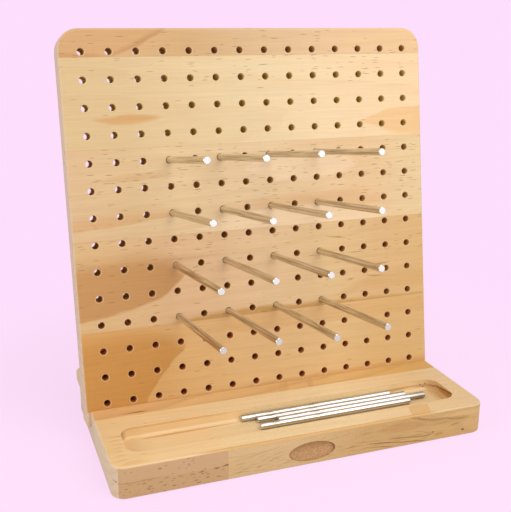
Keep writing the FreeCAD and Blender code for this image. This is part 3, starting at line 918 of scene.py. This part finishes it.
# %% [markdown]
# ## The rear stave and the rail
#
# Of the rear stave only a band shows in front of the board. It is the most orange of the base,
# with close rings that run along it, a small brown knot streak near its left end and two faint
# tints near the middle. The rail behind the board is plain.

# %% The rear stave and the rail
rear = pine("sanded_pine_rear", base_foot, 0.0, 13,
            colours=((-147, "#ebb87e"), (-100, "#edc084"), (-60, "#edc288"), (0, "#e7bd81"),
                     (60, "#e9be7e"), (100, "#e0b571"), (147, "#d9ab66")), heart=(113.0, -50.0),
            ring=6.0, climb=0.06, canals=0.06, ring_colour="#c98f55", ring_share=0.3)
top = top_face(rear)
for mark in (
        (((-130, 75.0, 75.0), (-118, None, 76.1), (-116, 74.5), (-110, None, 76.5), (-107, 74.1),
          (-102, 75.0, 75.0)), (0.4, 0.4), "#9c5b2c", 0.8),
        (((26, 71.5, 71.5), (31, 71.5, 85.5), (38, 89.5, 89.5)), (1.5, 1.5), "#cf9558", 0.3),
        (((0, 71.5, 71.5), (7, None, 85.5), (9, 71.5), (17, 89.5, 89.5)), (2.0, 2.0), "#cf9558", 0.25)):
    tint(rear, top, *mark, upright=False)
dress("base_rear", finish_base(rear))
rail = pine("sanded_pine_rail", base_foot, 0.0, 14,
            colours=((-147, "#e3bd8c"), (0, "#e7c292"), (147, "#e5bf8e")), heart=(133.0, 70.0),
            ring=6.5, climb=0.04, canals=0.06, end_colour="#e0c79c")
dress("back_rail", finish_wood(rail))
print("base pieces done")

# %% [markdown]
# ## Drawn steel pegs
#
# The pegs are bright steel wire, five millimetres thick, drawn through a die and cut to length.
# Drawing leaves very fine lines along the peg, so it shines, yet never quite as a mirror. Steel is
# a metal: metallic is 1, the colour is the tint of its reflection, and the IOR stays as it is.
# In front of the board a peg shows mostly the board. In the tray it shows the light above. The
# lines run along the peg: out of the board on the first kind, along the tray on the other.
#
# The flat ends were ground, not drawn. They are more matt and paler, and a little darker on the
# lower pegs. Towards the right end of the tray's pegs, painted shade turns the shine grey, where
# their reflection of the light fades.

# %% Steel for the board's pegs and for the tray's pegs
def drawn_steel(name, foot, turn, stretch, axis, tones, painted_shade_span=None):
    """Bright drawn steel whose lines run the way that stretch, in mm, is longest: along the axis."""
    metal = bpy.data.materials.new(name)
    tree = bare_tree(metal)
    spot, along, up, out = places(tree, foot, turn)
    lines = put(tree, "VectorMath MULTIPLY", [spot, [1 / s for s in stretch]])
    draw = put(tree, "TexNoise", {"Vector": lines, "Scale": 1.0, "Detail": 1.0})
    cloud = put(tree, "TexNoise", {"Vector": spot, "Scale": 0.05, "Detail": 1.0})
    handled = put(tree, "MapRange", [cloud, 0.3, 0.7, 0.09, 0.14])
    side = put(tree, "Math MULTIPLY_ADD", [draw, 0.05, handled])
    # A flat end faces along the axis.
    facing = put(tree, "NewGeometry")
    towards = put(tree, "VectorMath DOT_PRODUCT", [facing.outputs["Normal"], axis])
    flat = put(tree, "Math ABSOLUTE", [towards.outputs["Value"]])
    ground = region(tree, (flat, 0.8, 0.9))
    rough = put(tree, "Math MULTIPLY_ADD", [ground, 0.45, side])
    part = {"tree": tree, "colour": linear(tones[0])}
    stain(part, tones[1], region(tree, (draw, 0.35, 0.65)))
    end = {"tree": tree, "colour": linear("#e7e6e3")}
    stain(end, "#d1cecb", region(tree, (up, 125.0, 60.0)))
    part["colour"] = put(tree, "Mix", {0: ground, 6: part["colour"], 7: end["colour"]},
                         data_type="RGBA").outputs[2]
    # Painted shade: the shine of the tray's pegs turns grey towards their right ends.
    if painted_shade_span:
        stain(part, "#a39e95", region(tree, (along, *painted_shade_span)))
    bump = put(tree, "Bump", {"Strength": 0.1, "Distance": 0.00001, "Height": draw})
    surface = put(tree, "BsdfPrincipled", {"Base Color": part["colour"], "Metallic": 1.0,
                                           "Roughness": rough, "Normal": bump})
    put(tree, "OutputMaterial", {"Surface": surface})
    return metal


out_of_the_board = (0, -up_the_board.z, up_the_board.y)
STEEL = {"board_peg": drawn_steel("drawn_steel_board_pegs", board_foot, board_turn, (1.3, 1.3, 90.0),
                                  out_of_the_board, ("#b9af9c", "#e2ddd2")),
         "tray_peg": drawn_steel("drawn_steel_tray_pegs", (0, 0, 0), 0.0, (90.0, 1.3, 1.3), (1, 0, 0),
                                 ("#bcb9b3", "#d6d4cf"), (88.0, 112.0))}
for name in frame["nodes"]:
    for start, steel in STEEL.items():
        if name.startswith(start):
            dress(name, steel)
print("pegs:", sum("peg" in name for name in frame["nodes"]))

# %% [markdown]
# ## The floor
#
# The object stands on a plain pale floor that goes on as an even backdrop. Its colour, a very pale
# pink, is shown to the camera and in reflections as plain light, so it stays even to the
# horizon. Near the object a quarter of it is an ordinary matt surface, which keeps a soft shadow.
# That share is a little darker than the backdrop, and the light beside it is turned up to make up
# for it. Steel mirrors the whole room, in which the pink is only a part, so it shows a paler pink.

# %% Floor and its material
BACKDROP = "#fedefd"
IN_STEEL = "#f4eef3"
MATT_SHARE = 0.25
FADE = (480.0, 170.0)
FLOOR_WIDTH = 16.0


def as_watched(tree):
    """Whether the camera, a reflection or a clear thing looks, and the backdrop colour it sees."""
    path = put(tree, "LightPath")
    mirrored = put(tree, "Math MAXIMUM", [path.outputs["Is Camera Ray"], path.outputs["Is Glossy Ray"]])
    watched = put(tree, "Math MAXIMUM", [mirrored, path.outputs["Is Transmission Ray"]])
    tinge = put(tree, "Mix", {0: path.outputs["Is Camera Ray"], 6: linear(IN_STEEL),
                              7: linear(BACKDROP)}, data_type="RGBA")
    return watched, tinge.outputs[2]


bpy.ops.object.select_all(action="DESELECT")
bpy.ops.mesh.primitive_plane_add(size=FLOOR_WIDTH, location=(0, 0, 0))
floor = bpy.context.object
floor.name = "floor"
paper = bpy.data.materials.new("matt_paper_floor")
tree = bare_tree(paper)
away = put(tree, "VectorMath LENGTH", [places(tree)[0]]).outputs["Value"]
near = put(tree, "MapRange", {"Value": away, "From Min": FADE[0], "From Max": FADE[1],
                              "To Max": MATT_SHARE}, interpolation_type="SMOOTHSTEP")
watched, tinge = as_watched(tree)
matt = put(tree, "BsdfDiffuse", {"Color": linear("#f1e2ec")})
level = put(tree, "Math MULTIPLY_ADD", [near, 0.28, 1.0])
glow = put(tree, "Emission", {"Color": tinge, "Strength": level})
lit = put(tree, "MixShader", [near, glow, matt])
put(tree, "OutputMaterial", {"Surface": put(tree, "MixShader", [watched, matt, lit])})
floor.data.materials.append(paper)
print("floor is", floor.dimensions.x, "m wide")

# %% [markdown]
# ## Light
#
# The world gives most of the light: an even, nearly white glow, as in a white tent. It is told
# apart from what the camera and the steel see of it, which is the backdrop's colour. One large
# soft lamp above and a little to the right gives the gentle shadows under the pegs and makes the
# board brighter towards the right. A second large lamp stands low in front at the right. The flat
# ends of the pegs mirror it, and so they show white. A third at the left fills the shadows there.

# %% World and soft lamps
world = bpy.data.worlds.new("tent")
bpy.context.scene.world = world
tree = bare_tree(world)
watched, tinge = as_watched(tree)
soft = put(tree, "Background", {"Color": linear("#fffaf6"), "Strength": 0.55})
shown = put(tree, "Background", {"Color": tinge, "Strength": 1.0})
put(tree, "OutputWorld", {"Surface": put(tree, "MixShader", [watched, soft, shown])})


def soft_lamp(name, place, target, size, power, colour):
    """A large square lamp at a place in metres, turned towards a target, and not seen itself."""
    bpy.ops.object.light_add(type="AREA", location=place)
    lamp = bpy.context.object
    lamp.name = name
    lamp.data.shape = "SQUARE"
    lamp.data.size = size
    lamp.data.energy = power
    lamp.data.color = linear(colour)[:3]
    lamp.rotation_euler = (Vector(target) - Vector(place)).to_track_quat("-Z", "Y").to_euler()
    lamp.visible_camera = False


soft_lamp("above_right", (0.35, -0.60, 1.15), (0.0, 0.0, 0.10), 1.1, 6.8, "#fffdfa")
soft_lamp("front_right", (0.55, -1.35, 0.50), (0.0, -0.05, 0.12), 0.78, 3.0, "#ffffff")
soft_lamp("left", (-1.2, -0.3, 0.5), (0.0, 0.0, 0.1), 0.8, 4.0, "#fffdfa")

# %% [markdown]
# ## The camera
#
# The camera stands to the left of the middle, a little above the board's top edge and about 60 cm
# away, and looks slightly down through a lens that is somewhat longer than a normal one. Its turn
# is built from the two directions that matter: where it looks and what is to its right.

# %% Place the camera
CAMERA_PLACE = (-0.2200, -0.5537, 0.3091)
FILM_WIDTH, FOCAL_LENGTH = 36.0, 57.71
look = Vector((0.3298, 0.9016, -0.28)).normalized()
to_right = Vector((0.9395, -0.3426, 0.0035))
to_right = (to_right - look * to_right.dot(look)).normalized()
turn = Matrix((to_right, to_right.cross(look), -look)).transposed()
bpy.ops.object.camera_add()
camera = bpy.context.object
camera.name = "camera"
camera.matrix_world = Matrix.Translation(CAMERA_PLACE) @ turn.to_4x4()
camera.data.sensor_fit = "HORIZONTAL"
camera.data.sensor_width = FILM_WIDTH
camera.data.lens = FOCAL_LENGTH
camera.data.clip_start = 0.01
camera.data.dof.use_dof = False
bpy.context.scene.camera = camera
bpy.context.scene.view_settings.view_transform = "Standard"
print("camera height in mm:", round(camera.location.z / MM, 1))

# %% [markdown]
# ## The size
#
# The looks must not change the size.
